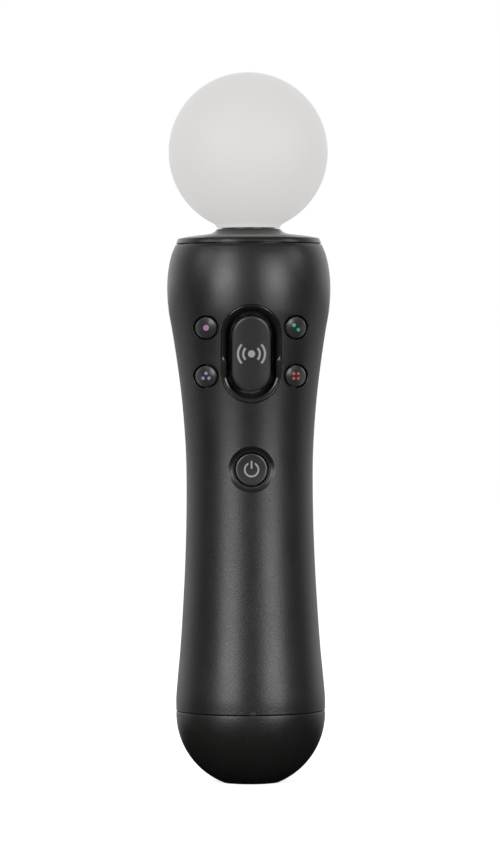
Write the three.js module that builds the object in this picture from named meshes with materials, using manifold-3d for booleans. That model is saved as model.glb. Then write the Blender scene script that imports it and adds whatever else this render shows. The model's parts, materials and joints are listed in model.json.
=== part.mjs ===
// Motion controller: a hand-held wand with a glowing soft ball on top, a thumb button and five round
// buttons on the front, a pill button on each side, a trigger at the back and charging ports in its foot.
// Millimetres. +Z runs up the handle to the ball, the button face looks along -Y, and the origin is the
// centre of the flat foot.
import * as THREE from "three";
import { mergeVertices } from "three/addons/utils/BufferGeometryUtils.js";
import Module from "manifold-3d";

const wasm = await Module();
wasm.setup();

// ---- driving dimensions -------------------------------------------------------------------------
const wall = 1.7; // moulded wall of the shells
const seam = 0.2; // shut line between two shells
const gap = 0.3; // assembly clearance
const around = 40; // facets round the handle
const beyond = 40; // outside the object on any side, for cuts that run out of it
const endSeamZ = 20.4; // where the end cap meets the shells
const capSeamZ = 151.5; // where the shells meet the top cap

// Radius of the handle at heights from the end cap to the top cap, joined by a smooth curve.
const handleStations = [
  [endSeamZ, 21.0],
  [24, 21.0],
  [30, 20.5],
  [38, 19.75],
  [48, 19.05],
  [60, 18.38],
  [72, 17.95],
  [83, 17.8],
  [92, 17.9],
  [101, 18.38],
  [110, 19.2],
  [119, 20.35],
  [127.5, 21.65],
  [133, 22.6],
  [139, 23.0],
  [144, 22.7],
  [148.5, 21.8],
  [capSeamZ, 20.6],
];
const handleTop = handleStations.length - 1;

const ball = { r: 22.4, z: 177.6, wall: 1.6, neckR: 8.95, neckZ: 156.2, kneeR: 10, boreR: 8.2 };
const dome = { r: 21.0, z: 19.5, wall: 1.8, footR: 7.2, floor: 2.2 };
const register = { outR: 18.9, inR: 17.6, top: 23.4 }; // the end cap's lip inside the shells
const strap = { y: 16.2, z: 9, barR: 1.0, holeR: 1.15, pocketHalf: 3.5 };
const cap = {
  rimR: 20.3,
  rimZ: 151.8,
  collarR: 8.95,
  collarZ: 155.9,
  neckR: 7.5,
  neckTop: 161,
  boreR: 5.7,
  lipR: 18.3,
  lipZ: 149.3,
};

const thumb = { z: 120.7, w: 10.8, h: 20.9, backY: -15.6, flange: 1.0, proud: 0.15 };
const well = { w: 16.7, h: 27.2, openW: 14.0, openH: 24.5, floorY: -17, backY: -16, sunk: 0.15 };
const action = {
  x: 12.55,
  topZ: 128.0,
  lowZ: 114.5,
  r: 2.95,
  holeR: 3.35,
  proud: 0.5,
  tab: 4.2,
  tabHalf: 2.4,
};
const home = { z: 88.5, r: 4.5, holeR: 4.9, dishR: 6.5, dishDepth: 0.95, sunk: 0.85, flangeR: 5.6 };
const side = { z: 101, y: -2.8, w: 2.4, h: 8.4, clear: 0.22, backX: 15 };
const reset = { z: 62, r: 0.8, holeR: 1.05, flangeR: 1.6 };
const light = { r: 0.9, holeR: 1.05, z: endSeamZ + 0.05 }; // status window

const pivot = { y: 18.2, z: 134.5, r: 1.0, boreR: 1.1, half: 7.3 }; // trigger axle
const trig = {
  w: 12.4,
  slotW: 13.2,
  lowR: 27.95,
  topR: 4.4,
  clear: 0.5,
  skin: 1.4,
  corner: 2.4,
  backY: 15.2,
};
const lip = { y: 10.9, z: -25.4 }; // the trigger's lip, from its axle
const spring = { r: 2.2, half: 2.1, wireR: 0.35, roomR: 2.9, roomHalf: 2.5 };
const bracket = {
  half: 7.6,
  front: 7,
  back: 8.2,
  low: 109,
  high: 139,
  ear: 1.0,
  legX: 5,
  legZ: 136,
  legR: 1.6,
};

const board = { front: -8.6, back: -7.4 };
const mat = { front: -9.9, back: -8.75 };
const plate = { front: -7.0, back: -4.2 }; // the inner frame's main web
const rail = { near: 13.1, far: 14.3, back: 5.8, low: 57, high: 95 };
const ear = { r: 4.1, holeR: 2.95 };
const shelf = { r: 12.5, low: 146.2, high: 147.4 };
const footY = -11.1; // where a resting front button's foot ends
const battery = { w: 25.6, y0: -3.8, y1: 6.4, z0: 55, z1: 95.5, round: 3 };
const motor = { y: 5, r: 7.5, z0: 26.5, z1: 43, shaftR: 0.75, boreR: 0.83 };
const sleeve = { r: 8.1, low: 31, high: 40.5 };
const weight = { r: 7.4, hubR: 2.2, low: 45, high: 51.5 };
const usb = { y: -3.4, w: 7.7, d: 3.9, wallX: 0.35, wallY: 0.35, depth: 8.8 };
const ext = { y: 3.3, w: 9.2, d: 3.2, wallX: 0.7, wallY: 0.8, depth: 7.5 };
const port = { rim: 0.35, top: 9.6, clear: 0.15 };
const contact = { x: 5.6, r: 0.95, padX: 7.2, padR: 1.0, tip: 0.05 };
const flexThick = 0.35;
const screwPosts = [
  { x: 11.5, z: 29 },
  { x: 11.5, z: 142.8 },
];
const post = { r: 2.6, meet: 1.5, hole: 0.95, throughR: 1.15, boreY: 10, headR: 1.9, shankR: 0.8 };
const boardScrews = [
  { x: 9.2, z: 66 },
  { x: -11.4, z: 136.5 },
];

// ---- small modelling kit ------------------------------------------------------------------------
// A closed BufferGeometry as a solid.
function solid(geometry) {
  const bare = geometry.index ? geometry.toNonIndexed() : geometry.clone();
  bare.deleteAttribute("normal");
  bare.deleteAttribute("uv");
  const merged = mergeVertices(bare, 1e-4);
  const vertProperties = new Float32Array(merged.attributes.position.array);
  const corners = Array.from(merged.index.array);
  const triVerts = [];
  for (let i = 0; i < corners.length; i += 3) {
    const [a, b, c] = corners.slice(i, i + 3);
    if (a !== b && b !== c && a !== c) triVerts.push(a, b, c);
  }
  const make = (tris) =>
    new wasm.Manifold(new wasm.Mesh({ numProp: 3, vertProperties, triVerts: new Uint32Array(tris) }));
  const made = make(triVerts);
  return made.volume() > 0 ? made : make(triVerts.reverse());
}

// A solid as a BufferGeometry.
function geometryOf(body) {
  const mesh = body.getMesh();
  const position = new Float32Array(mesh.numVert * 3);
  for (let i = 0; i < mesh.numVert; i++) {
    position.set(mesh.vertProperties.subarray(i * mesh.numProp, i * mesh.numProp + 3), i * 3);
  }
  const geometry = new THREE.BufferGeometry();
  geometry.setAttribute("position", new THREE.BufferAttribute(position, 3));
  geometry.setIndex(new THREE.BufferAttribute(new Uint32Array(mesh.triVerts), 1));
  geometry.computeVertexNormals();
  return geometry;
}

const join = (...bodies) => bodies.reduce((whole, body) => whole.add(body));

const bothSides = (make) => make(-1).add(make(1));

// A profile of [radius, height] pairs turned round the Z axis.
function turned(profile, segments = 24) {
  const points = profile.map(([r, z]) => new THREE.Vector2(r, z));
  return solid(new THREE.LatheGeometry(points, segments).rotateX(Math.PI / 2));
}

// A box from its low and high corners.
function block([x0, y0, z0], [x1, y1, z1]) {
  const geometry = new THREE.BoxGeometry(x1 - x0, y1 - y0, z1 - z0);
  return solid(geometry.translate((x0 + x1) / 2, (y0 + y1) / 2, (z0 + z1) / 2));
}

// A box across the middle plane, from its low and high corners in Y and Z.
function slab(half, [y0, z0], [y1, z1]) {
  return block([-half, y0, z0], [half, y1, z1]);
}

// A box on side s (-1 left, 1 right) between two distances from the middle plane.
function sideBlock(s, near, far, [y0, z0], [y1, z1]) {
  const [x0, x1] = s > 0 ? [near, far] : [-far, -near];
  return block([x0, y0, z0], [x1, y1, z1]);
}

// A shape drawn in X and Z, pulled from y0 to y1.
function pulledY(shape, y0, y1, curveSegments = 8) {
  const geometry = new THREE.ExtrudeGeometry(shape, { depth: y1 - y0, bevelEnabled: false, curveSegments });
  return solid(geometry.rotateX(Math.PI / 2).translate(0, y1, 0));
}

// A shape drawn in Y and Z, pulled from x0 to x1.
function pulledX(shape, x0, x1, curveSegments = 8) {
  const geometry = new THREE.ExtrudeGeometry(shape, { depth: x1 - x0, bevelEnabled: false, curveSegments });
  const turn = new THREE.Matrix4().makeBasis(
    new THREE.Vector3(0, 1, 0),
    new THREE.Vector3(0, 0, 1),
    new THREE.Vector3(1, 0, 0),
  );
  return solid(geometry.applyMatrix4(turn).translate(x0, 0, 0));
}

// A rod along X, Y or Z between two places on that axis.
function rodX(r, x0, x1, y, z, segments = 16) {
  const geometry = new THREE.CylinderGeometry(r, r, x1 - x0, segments).rotateZ(Math.PI / 2);
  return solid(geometry.translate((x0 + x1) / 2, y, z));
}
function rodY(r, y0, y1, x, z, segments = 16) {
  return solid(new THREE.CylinderGeometry(r, r, y1 - y0, segments).translate(x, (y0 + y1) / 2, z));
}
function rodZ(r, z0, z1, x, y, segments = 16) {
  const geometry = new THREE.CylinderGeometry(r, r, z1 - z0, segments).rotateX(Math.PI / 2);
  return solid(geometry.translate(x, y, (z0 + z1) / 2));
}

// A pill outline w wide and h tall about the point x, z.
function pill(w, h, x, z) {
  const r = w / 2;
  const straight = h / 2 - r;
  const shape = new THREE.Shape();
  shape.absarc(x, z + straight, r, 0, Math.PI, false);
  shape.absarc(x, z - straight, r, Math.PI, 2 * Math.PI, false);
  shape.closePath();
  return shape;
}

// A pill drawn in Y and Z about the side buttons' centre, pulled outwards on side s from x0 to x1.
function sidePill(s, w, h, x0, x1) {
  const settings = { depth: x1 - x0, bevelEnabled: false, curveSegments: 6 };
  const geometry = new THREE.ExtrudeGeometry(pill(w, h, 0, 0), settings);
  geometry.rotateX(Math.PI / 2).rotateZ(Math.PI / 2);
  return solid(geometry.translate(s > 0 ? x0 : -x1, side.y, side.z));
}

// A closed outline from the [x, z] corners of its right half, from the bottom to the top.
function mirrored(points) {
  const left = points.map(([x, z]) => [-x, z]).reverse();
  return new THREE.Shape([...points, ...left].map(([x, z]) => new THREE.Vector2(x, z)));
}

// A wire or sleeve of radius r through the given points.
function wire(points, r, steps) {
  const path = new THREE.CatmullRomCurve3(points.map((p) => new THREE.Vector3(...p)));
  const section = new THREE.Shape().absarc(0, 0, r, 0, 2 * Math.PI, false);
  const settings = { steps, extrudePath: path, bevelEnabled: false, curveSegments: 4 };
  return solid(new THREE.ExtrudeGeometry(section, settings));
}

// ---- the outer form -----------------------------------------------------------------------------
// Handle radius at a height: cubic pieces between stations, with the neighbours' slope at each.
function handleR(z) {
  const slope = (i) => {
    const [a, b] = [handleStations[Math.max(i - 1, 0)], handleStations[Math.min(i + 1, handleTop)]];
    return (b[1] - a[1]) / (b[0] - a[0]);
  };
  let i = 0;
  while (i < handleTop - 1 && z > handleStations[i + 1][0]) i += 1;
  const [z0, r0] = handleStations[i];
  const [z1, r1] = handleStations[i + 1];
  const span = z1 - z0;
  const t = THREE.MathUtils.clamp((z - z0) / span, 0, 1);
  const [t2, t3] = [t * t, t * t * t];
  return (
    (2 * t3 - 3 * t2 + 1) * r0 +
    (t3 - 2 * t2 + t) * span * slope(i) +
    (3 * t2 - 2 * t3) * r1 +
    (t3 - t2) * span * slope(i + 1)
  );
}

// The handle's outer form, grown or shrunk by an offset, as [radius, height] pairs between two heights.
function handleLine(z0, z1, offset, steps) {
  return Array.from({ length: steps + 1 }, (_, i) => {
    const z = z0 + ((z1 - z0) * i) / steps;
    return [handleR(z) + offset, z];
  });
}

// The handle's outer form as a plug, for trimming what must follow it.
function handlePlug(offset, z0 = endSeamZ, z1 = capSeamZ, steps = 14) {
  return turned([[0, z0], ...handleLine(z0, z1, offset, steps), [0, z1]], around);
}

// ---- shells -------------------------------------------------------------------------------------
function handleTube() {
  const outer = handleStations.map(([z, r]) => [r, z]);
  const inner = handleLine(endSeamZ, capSeamZ, -wall, 9).reverse();
  return turned([...outer, ...inner, outer[0]], around);
}

// Screw posts of one shell: each runs from the wall to the parting plane.
function posts(front) {
  const [y0, y1] = front ? [-beyond, post.meet] : [post.meet + gap, beyond];
  const rods = screwPosts.map(({ x, z }) => bothSides((s) => rodY(post.r, y0, y1, s * x, z)));
  return join(...rods).intersect(handlePlug(-wall / 2));
}

// Threaded bores in the front posts.
function screwThreads() {
  return join(...screwPosts.map(({ x, z }) => bothSides((s) => rodY(post.hole, -8, 10, s * x, z, 12))));
}

// Clearance bores in the rear posts, with wider ones for the screw heads.
function screwBores() {
  const bores = screwPosts.map(({ x, z }) =>
    bothSides((s) =>
      rodY(post.throughR, 0, beyond, s * x, z, 12).add(
        rodY(post.headR + gap, post.boreY, beyond, s * x, z, 16),
      ),
    ),
  );
  return join(...bores);
}

function frontShell() {
  const half = slab(beyond, [-beyond, 0], [-seam / 2, cap.neckTop]);
  const holes = [action.topZ, action.lowZ].map((z) =>
    bothSides((s) => rodY(action.holeR, -beyond, -7, s * action.x, z, 20)),
  );
  const cuts = join(
    pulledY(pill(well.w + 2 * seam, well.h + 2 * seam, 0, thumb.z), -beyond, -5, 10),
    ...holes,
    rodY(home.holeR, -beyond, -5, 0, home.z, 24),
    homeDish(),
    bothSides((s) => sidePill(s, side.w + 2 * side.clear, side.h + 2 * side.clear, 12, 22)),
    rodY(light.holeR, -beyond, -15, 0, endSeamZ, 12),
  );
  return handleTube().intersect(half).add(posts(true)).subtract(cuts).subtract(screwThreads());
}

// The dished ring round the home button: turned for a flat face, then bent to the handle's round front.
function homeDish() {
  const r = handleR(home.z);
  const over = 4; // how far the cutter stands out of the surface
  const slope = (home.dishR - home.holeR) / home.dishDepth;
  const profile = [
    [0, home.dishDepth],
    [home.holeR - 0.2, home.dishDepth],
    [home.holeR, home.dishDepth],
    [home.dishR, 0],
    [home.dishR + slope, -1],
    [home.dishR + slope, -over],
    [0, -over],
  ];
  const geometry = new THREE.LatheGeometry(profile.map((p) => new THREE.Vector2(...p)), 28);
  const points = geometry.attributes.position;
  for (let i = 0; i < points.count; i++) {
    const x = points.getX(i);
    points.setY(i, points.getY(i) - Math.sqrt(r * r - x * x));
  }
  return solid(geometry.translate(0, 0, home.z));
}

// Slot for the trigger, with round lower corners that follow the trigger's.
function triggerSlot() {
  const low = pivot.z - trig.lowR - trig.clear;
  const high = pivot.z + trig.topR + trig.clear;
  const x = trig.slotW / 2;
  const corner = trig.corner + trig.clear;
  const slot = new THREE.Shape();
  slot.moveTo(-x + corner, low).lineTo(x - corner, low);
  slot.absarc(x - corner, low + corner, corner, -Math.PI / 2, 0, false);
  slot.lineTo(x, high).lineTo(-x, high);
  slot.absarc(-x + corner, low + corner, corner, Math.PI, 1.5 * Math.PI, false);
  return pulledY(slot, 5, beyond, 4);
}

function rearShell() {
  const half = slab(beyond, [seam / 2, 0], [beyond, cap.neckTop]);
  const cuts = triggerSlot().add(rodY(reset.holeR, 5, beyond, 0, reset.z, 12));
  return handleTube().intersect(half).add(posts(false)).subtract(cuts).subtract(screwBores());
}

// Opening in the foot for a socket.
function portOpening({ y, w, d }) {
  const [x, half] = [w / 2 + port.clear, d / 2 + port.clear];
  return slab(x, [y - half, -1], [y + half, 5]);
}

// Dome with a flat foot, a register lip inside the shells, port openings and a strap pocket.
function endCap() {
  const arc = (r, z0, z1, steps) =>
    Array.from({ length: steps + 1 }, (_, i) => {
      const z = z0 + ((z1 - z0) * i) / steps;
      return [Math.sqrt(r * r - (z - dome.z) ** 2), z];
    });
  const top = endSeamZ - seam;
  const outer = [[0, 0], [dome.footR, 0], ...arc(dome.r, 0.35, top, 8)];
  const lipLine = [
    [register.outR, top],
    [register.outR, register.top],
    [register.inR, register.top],
    [register.inR, top],
  ];
  const inner = [...arc(dome.r - dome.wall, dome.floor, top - 2, 5).reverse(), [0, dome.floor]];
  const shell = turned([...outer, ...lipLine, ...inner], around);
  const inside = turned([[0, 0.5], ...arc(dome.r - 0.6, 0.5, top, 6), [0, top]], around);
  const pocket = slab(5.6, [10.4, 4], [20, 14]).intersect(inside);
  const cuts = join(
    portOpening(usb),
    portOpening(ext),
    bothSides((s) => rodZ(contact.r + port.clear, -1, 5, s * contact.x, 0, 12)),
    slab(strap.pocketHalf, [12, 6.5], [25, 11.5]),
    rodX(strap.holeR, -5, 8, strap.y, strap.z, 12),
    slab(1.2, [-19.5, top], [-16, 24]),
  );
  return shell.add(pocket).subtract(cuts);
}

// Shallow dome with a collar and a tubular neck that the soft ball clips over.
function topCap() {
  const bead = 0.4; // how far the clip's bead stands out of the neck
  const rimWall = 1.4;
  return turned(
    [
      [cap.rimR, cap.rimZ],
      [cap.rimR - 0.1, cap.rimZ + 1.2],
      [cap.rimR - 0.8, cap.rimZ + 1.6],
      [16, 153.9],
      [12, 154.4],
      [10.4, 154.75],
      [cap.collarR + 0.55, 155.25],
      [cap.collarR, cap.collarZ],
      [cap.neckR, cap.collarZ],
      [cap.neckR, 159.2],
      [cap.neckR + bead, 159.7],
      [cap.neckR + bead, 160.5],
      [cap.neckR - 0.3, cap.neckTop],
      [cap.boreR, cap.neckTop],
      [cap.boreR, 153.6],
      [7.2, 153.3],
      [7.2, 152.7],
      [cap.lipR - rimWall, 152.4],
      [cap.lipR - rimWall, cap.lipZ],
      [cap.lipR, cap.lipZ],
      [cap.lipR, cap.rimZ],
      [cap.rimR, cap.rimZ],
    ],
    around,
  );
}

// Thin hollow ball, open at its neck.
function lightBall() {
  const { r, z, neckR, neckZ, boreR } = ball;
  const sweep = (radius, from, to, steps) =>
    Array.from({ length: steps + 1 }, (_, i) => {
      const angle = from + ((to - from) * i) / steps;
      return [radius * Math.sin(angle), z - radius * Math.cos(angle)];
    });
  const inner = r - ball.wall;
  const outer = sweep(r, Math.asin(ball.kneeR / r), Math.PI, 14).slice(0, -1);
  const hollow = sweep(inner, Math.asin(boreR / inner), Math.PI, 9).slice(0, -1).reverse();
  return turned(
    [
      [boreR, neckZ],
      [neckR, neckZ],
      [neckR + 0.6, neckZ + 1],
      ...outer,
      [0, z + r],
      [0, z + inner],
      ...hollow,
      [boreR, neckZ],
    ],
    32,
  );
}

// ---- front controls -----------------------------------------------------------------------------
// Gloss ring that lines the thumb button's well, with a floor that the button slides through.
function centerBezel() {
  const rise = handlePlug(-well.sunk, 100, 140, 8);
  const ring = pulledY(pill(well.w, well.h, 0, thumb.z), -beyond, well.backY, 10).intersect(rise);
  const bore = pulledY(pill(well.openW, well.openH, 0, thumb.z), -beyond, well.floorY, 10);
  const floorBore = pulledY(pill(thumb.w + 2 * gap, thumb.h + 2 * gap, 0, thumb.z), -beyond, 0, 10);
  return ring.subtract(bore).subtract(floorBore);
}

// Thumb button: a face that follows the handle, a flange behind the ring and a foot for the mat.
function centerButton() {
  const form = handlePlug(thumb.proud, 100, 140, 10);
  const face = pulledY(pill(thumb.w, thumb.h, 0, thumb.z), -beyond, thumb.backY, 10).intersect(form);
  const [flangeW, flangeH] = [thumb.w + 2 * thumb.flange, thumb.h + 2 * thumb.flange];
  const flange = pulledY(pill(flangeW, flangeH, 0, thumb.z), thumb.backY, thumb.backY + 1, 6);
  const foot = slab(2, [thumb.backY + 0.8, thumb.z - 6], [footY - 0.2, thumb.z + 6]);
  return join(face, flange, foot);
}

// Round button on side s (-1 left, 1 right); its face follows the handle and its foot has a keeper tab.
function actionButton(s, z) {
  const cup = rodY(action.r, -beyond, footY, s * action.x, z, 20);
  const form = handlePlug(action.proud, z - 8, z + 8, 6);
  const near = action.x - action.tab;
  const tab = sideBlock(s, near, action.x, [footY - 1, z - action.tabHalf], [footY, z + action.tabHalf]);
  return cup.intersect(form).add(tab);
}

function homeButton() {
  const cup = rodY(home.r, -beyond, footY, 0, home.z, 24).intersect(handlePlug(-home.sunk, 80, 97, 4));
  return cup.add(rodY(home.flangeR, -14.4, -13.6, 0, home.z, 24));
}

// Pill button on side s, flush with the side wall and backed by a flange.
function sideButton(s) {
  const form = handlePlug(0, side.z - 8, side.z + 8, 6);
  const face = sidePill(s, side.w, side.h, side.backX, 22).intersect(form);
  const flange = sidePill(s, side.w + 1.6, side.h + 2, side.backX - 0.4, side.backX + 0.2);
  return face.add(flange);
}

// Half-round light pipe in the front shell's lower edge.
function statusWindow() {
  const above = slab(2, [-beyond, light.z], [0, 30]);
  const form = handlePlug(0, endSeamZ, 40, 4);
  return rodY(light.r, -beyond, -19.2, 0, light.z, 12).intersect(above).intersect(form);
}

function resetButton() {
  const pin = rodY(reset.r, 10.9, handleR(reset.z) - 0.9, 0, reset.z, 12);
  return pin.add(rodY(reset.flangeR, 14.3, 15.1, 0, reset.z, 12));
}

// ---- trigger ------------------------------------------------------------------------------------
// Side outline of the trigger: rolled top round the axle, hollowed finger face, lip, and an underside
// that is an arc about the axle so that its shut line stays even.
function triggerOutline(inset) {
  const shape = new THREE.Shape();
  const lowR = trig.lowR - inset;
  const topR = trig.topR - inset;
  const backAngle = -Math.PI / 2 - Math.asin((pivot.y - trig.backY) / lowR);
  const lipAngle = Math.atan2(lip.z, lip.y);
  const lipY = pivot.y + lowR * Math.cos(lipAngle);
  const lipZ = pivot.z + lowR * Math.sin(lipAngle);
  shape.absarc(pivot.y, pivot.z, lowR, backAngle, lipAngle, false);
  shape.bezierCurveTo(lipY + 1.1, lipZ + 0.5, lipY + 1.1, lipZ + 1.7, 28.9 - inset, 111.6);
  shape.bezierCurveTo(26.0 - inset, 115.5, 24.2 - inset, 121, 23.5 - inset, 125.5);
  shape.bezierCurveTo(23.0 - inset, 129, 22.75 - inset, 131.5, pivot.y + topR, pivot.z);
  shape.absarc(pivot.y, pivot.z, topR, 0, Math.PI * 0.6, false);
  shape.closePath();
  return shape;
}

// Rounds the trigger's lower corners about its axle, so that they stay clear of the slot as it turns.
function triggerLimit() {
  const [half, r, corner] = [trig.w / 2, trig.lowR + 0.5, trig.corner];
  const bend = (turn) => [r - corner + corner * Math.cos(turn), half - corner + corner * Math.sin(turn)];
  const upper = [0, 0.25, 0.5].map((part) => bend(part * Math.PI));
  const lower = upper.map(([radius, x]) => [radius, -x]).reverse();
  const wheel = turned([[0, -half], ...lower, ...upper, [0, half]], 60);
  return wheel.rotate([0, 90, 0]).translate([0, pivot.y, pivot.z]);
}

// Moulded trigger: a skin round a hollow, open to the back, with a plunger for the pad behind it.
function trigger() {
  const half = trig.w / 2;
  const inner = half - trig.skin;
  const hubZ = 129; // the hollow ends below the hub
  const body = pulledX(triggerOutline(0), -half, half, 6).intersect(triggerLimit());
  const hollow = pulledX(triggerOutline(trig.skin), -inner, inner, 5)
    .subtract(slab(half, [0, hubZ], [beyond, 145]))
    .add(slab(inner, [8, 109.5], [20, hubZ]));
  const plunger = slab(1, [14.2, 113], [27, 115]).intersect(body);
  const springRoom = rodX(spring.roomR, -spring.roomHalf, spring.roomHalf, pivot.y, pivot.z, 20).add(
    slab(spring.roomHalf, [8, pivot.z - 2.6], [pivot.y, pivot.z + 2.6]),
  );
  return body.subtract(hollow).add(plunger).subtract(springRoom).subtract(axleBore());
}

function axleBore() {
  return rodX(pivot.boreR, -10, 10, pivot.y, pivot.z, 16);
}

// Torsion spring round the axle: a coil sleeve with a leg on the trigger and a leg towards the bracket.
function triggerSpring() {
  const { half, wireR } = spring;
  const coil = rodX(spring.r, -half, half, pivot.y, pivot.z, 14);
  const room = rodX(pivot.r + 0.2, -5, 5, pivot.y, pivot.z, 14);
  const rearLeg = rodY(wireR, 11.5, pivot.y - 1.5, 1.6, pivot.z, 8);
  const downLeg = rodZ(wireR, pivot.z - 2.6, pivot.z - 1.5, -1.6, pivot.y, 8);
  return join(coil.subtract(room), rearLeg, downLeg);
}

// Plate behind the trigger with an ear at each end of the axle and two legs through the carrier.
function triggerBracket() {
  const base = slab(bracket.half, [bracket.front, bracket.low], [bracket.back, bracket.high]);
  const ears = bothSides((s) =>
    sideBlock(s, bracket.half - bracket.ear, bracket.half, [bracket.back - 0.1, 129.5], [21, 138.5]),
  );
  const legs = bothSides((s) =>
    rodY(bracket.legR, plate.front + 0.4, bracket.front + 0.1, s * bracket.legX, bracket.legZ, 12),
  );
  return join(base, ears, legs).intersect(handlePlug(-wall - gap, 100, 145, 8)).subtract(axleBore());
}

// ---- inside -------------------------------------------------------------------------------------
// The carrier's web behind the board, with feet for its rails and ears round the lower screw posts.
function frameWeb() {
  const web = mirrored([
    [8.2, 26],
    [8.2, 40],
    [11.4, 46],
    [11.4, 104],
    [14, 110],
    [14, 138],
    [8, 140],
    [8, 147.2],
  ]);
  const [lowPost] = screwPosts;
  const feet = slab(rail.far, [plate.front, rail.low], [plate.back, rail.high]);
  const ears = bothSides((s) => rodY(ear.r, plate.front, plate.back, s * lowPost.x, lowPost.z, 20));
  const holes = bothSides((s) => rodY(ear.holeR, -10, 0, s * lowPost.x, lowPost.z, 16));
  return join(pulledY(web, plate.front, plate.back), feet, ears).subtract(holes);
}

// Rails on both sides of the battery, with a strap behind it that carries the reset switch.
function frameCradle() {
  const [low, high] = [reset.z - 2.5, reset.z + 2.5];
  const rails = bothSides((s) =>
    sideBlock(s, rail.near, rail.far, [plate.front, rail.low], [rail.back, rail.high]),
  );
  const ends = bothSides((s) => sideBlock(s, rail.near, rail.far, [5, low], [7.2, high]));
  return join(rails, ends, slab(rail.far, [6.7, low], [7.7, high]));
}

// Holes and notches in the carrier for screws, bracket legs, switches, the battery plug and the lamp's cable.
function frameCuts() {
  const screws = boardScrews.map(({ x, z }) => rodY(0.9, -10, 0, x, z, 10));
  return join(
    ...screws,
    bothSides((s) => rodY(bracket.legR + 0.4, -10, 0, s * bracket.legX, bracket.legZ, 12)),
    bothSides((s) => sideBlock(s, 9.8, 15, [-8, side.z - 3.5], [0, side.z + 3.5])),
    block([2.9, plate.front - 1, 96.4], [8.6, 0, 101.6]),
    slab(3.4, [-8, 139.2], [-3, 142.6]),
    slab(3.4, [4, 146], [13, 148]),
  );
}

// Moulded carrier: the web, the battery's cradle, a ring round the motor and a shelf for the lamp.
function innerFrame() {
  const [low, high] = [32.6, 39];
  const ring = rodZ(9.4, low, high, 0, motor.y, 28).subtract(rodZ(sleeve.r + 0.2, 30, 42, 0, motor.y, 28));
  const stem = slab(3, [plate.front, low], [-3.2, high]);
  const lampShelf = rodZ(shelf.r, shelf.low, shelf.high, 0, 0, 28);
  return join(frameWeb(), frameCradle(), ring, stem, lampShelf).subtract(frameCuts());
}

function mainBoard() {
  const sheet = mirrored([
    [10.5, 62],
    [10.5, 106],
    [13.2, 112],
    [13.2, 138],
    [8.4, 141],
  ]);
  const holes = boardScrews.map(({ x, z }) => rodY(1.0, -12, -5, x, z, 10));
  return pulledY(sheet, board.front, board.back).subtract(join(...holes));
}

function buttonMat() {
  const sheet = mirrored([
    [6, 81],
    [6, 106],
    [12.6, 110.5],
    [12.6, 133],
  ]);
  return pulledY(sheet, mat.front, mat.back);
}

function radioShield() {
  return slab(5.5, [-10.1, 67], [board.front - 0.1, 78]);
}

// Side-push switch behind the board's edge, with its plunger towards the pill button.
function sideSwitch(s) {
  const body = sideBlock(s, 10.2, 13.2, [-7.1, side.z - 3], [-3.2, side.z + 3]);
  return body.add(rodX(0.6, ...(s > 0 ? [13, 14] : [-14, -13]), side.y - 1.2, side.z, 10));
}

// Foil-wrapped cell with round corners.
function batteryPack() {
  const r = battery.round;
  const [x, y0, y1] = [battery.w / 2, battery.y0, battery.y1];
  const section = new THREE.Shape();
  section.absarc(x - r, y0 + r, r, -Math.PI / 2, 0, false);
  section.absarc(x - r, y1 - r, r, 0, Math.PI / 2, false);
  section.absarc(-x + r, y1 - r, r, Math.PI / 2, Math.PI, false);
  section.absarc(-x + r, y0 + r, r, Math.PI, 1.5 * Math.PI, false);
  const settings = { depth: battery.z1 - battery.z0, bevelEnabled: false, curveSegments: 4 };
  return solid(new THREE.ExtrudeGeometry(section, settings).translate(0, 0, battery.z0));
}

function batteryLead() {
  return wire(
    [
      [5.8, 2, 95.8],
      [5.8, 1.6, 98],
      [5.8, -0.6, 99.2],
      [5.8, -3.6, 99],
    ],
    0.9,
    14,
  );
}

function motorCan() {
  const can = rodZ(motor.r, motor.z0, motor.z1, 0, motor.y, 28);
  return can.subtract(rodZ(motor.boreR, 36, 50, 0, motor.y, 12));
}

// Rubber sleeve between the motor can and the frame's ring.
function motorSleeve() {
  const inside = rodZ(motor.r + 0.15, 30, 42, 0, motor.y, 28);
  return rodZ(sleeve.r, sleeve.low, sleeve.high, 0, motor.y, 28).subtract(inside);
}

function motorShaft() {
  return rodZ(motor.shaftR, 36.4, 52.6, 0, motor.y, 12);
}

// Half-round weight with a hub.
function motorWeight() {
  const frontHalf = slab(9, [motor.y - 9, 44], [motor.y, 52]);
  return rodZ(weight.r, weight.low, weight.high, 0, motor.y, 28)
    .intersect(frontHalf)
    .add(rodZ(weight.hubR, weight.low, weight.high, 0, motor.y, 16))
    .subtract(rodZ(motor.boreR, 40, 60, 0, motor.y, 12));
}

function motorLead() {
  return wire(
    [
      [-4, 3, 25.4],
      [-4, -0.5, 24.2],
      [-4, -5.5, 24.2],
      [-4.6, -8.6, 27],
      [-5.2, -8.6, 36],
      [-6, -8.5, 50],
      [-7, -8.1, 61.4],
    ],
    0.7,
    16,
  );
}

function ledBoard() {
  return rodZ(8, 147.7, 148.8, 0, 0, 28);
}

function ledEmitter() {
  return turned([[0, 148.9], [2.6, 148.9], [2.6, 150.1], [1.9, 150.9], [0, 151.2]], 16);
}

// Clear stem that carries the lamp's light up through the neck.
function lightGuide() {
  return turned(
    [
      [0, 151.5],
      [6.8, 151.5],
      [6.8, 153.0],
      [5.3, 153.2],
      [5.3, 160.5],
      [4.6, 162.6],
      [2.6, 164],
      [0, 164.4],
    ],
    24,
  );
}

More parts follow.
